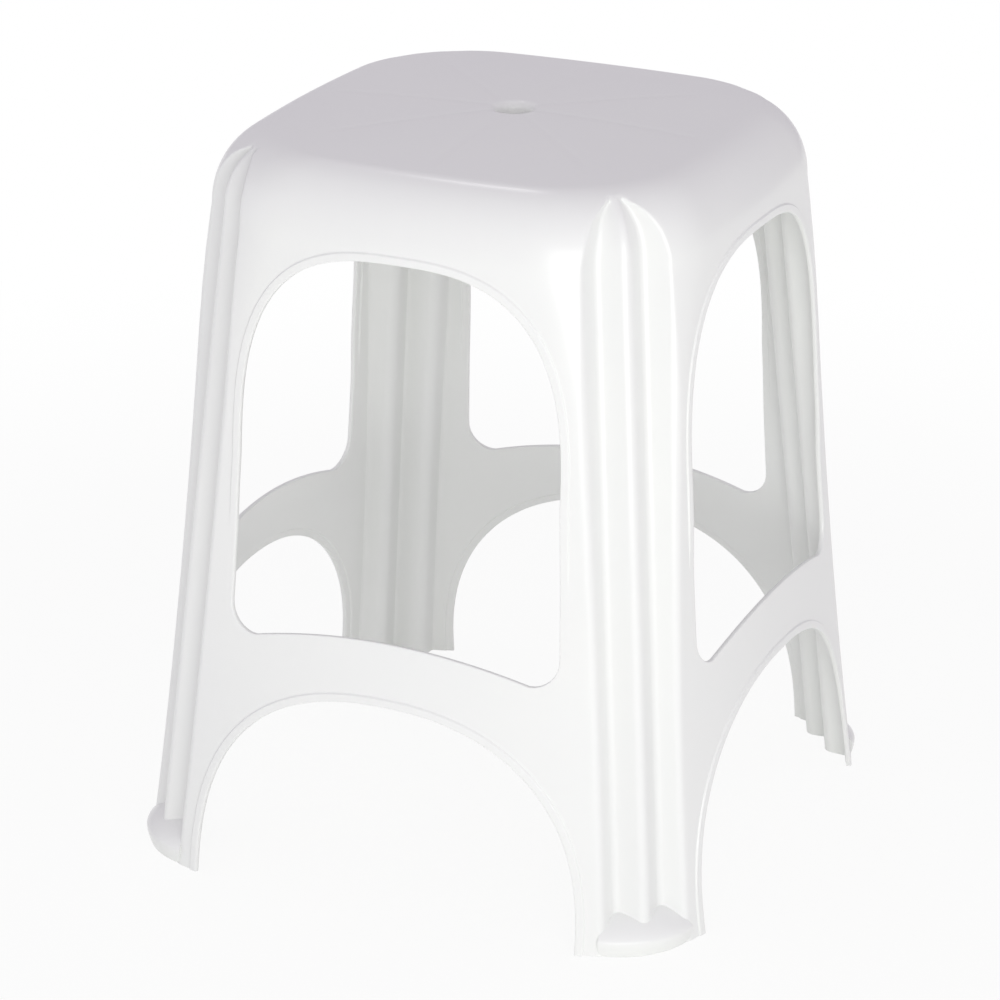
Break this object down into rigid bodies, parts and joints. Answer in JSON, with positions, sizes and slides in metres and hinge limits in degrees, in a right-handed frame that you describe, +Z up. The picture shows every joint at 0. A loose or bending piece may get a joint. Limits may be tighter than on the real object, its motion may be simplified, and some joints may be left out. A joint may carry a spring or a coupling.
{
  "type": "stacking stool",
  "caption": "Square plastic stacking stool with a rolled seat edge, a lifting hole, arched openings between the legs, bowed stretchers, stepped leg corners and cupped feet.",
  "frame": {"origin": "on the floor, under the middle of the seat", "axes": "+Z up; the four like sides face -Y (front), +X (right), +Y (back) and -X (left)"},
  "size_m": [0.3662, 0.3662, 0.4498],
  "materials": {
    "moulding": "gloss white polypropylene as moulded"
  },
  "bodies": {
    "root": {"seat_panel": "moulding", "apron_front": "moulding", "apron_right": "moulding", "apron_back": "moulding", "apron_left": "moulding", "stretcher_front": "moulding", "stretcher_right": "moulding", "stretcher_back": "moulding", "stretcher_left": "moulding", "leg_front_right": "moulding", "leg_back_right": "moulding", "leg_back_left": "moulding", "leg_front_left": "moulding", "foot_front_right": "moulding", "foot_back_right": "moulding", "foot_back_left": "moulding", "foot_front_left": "moulding"}
  },
  "joints": []
}
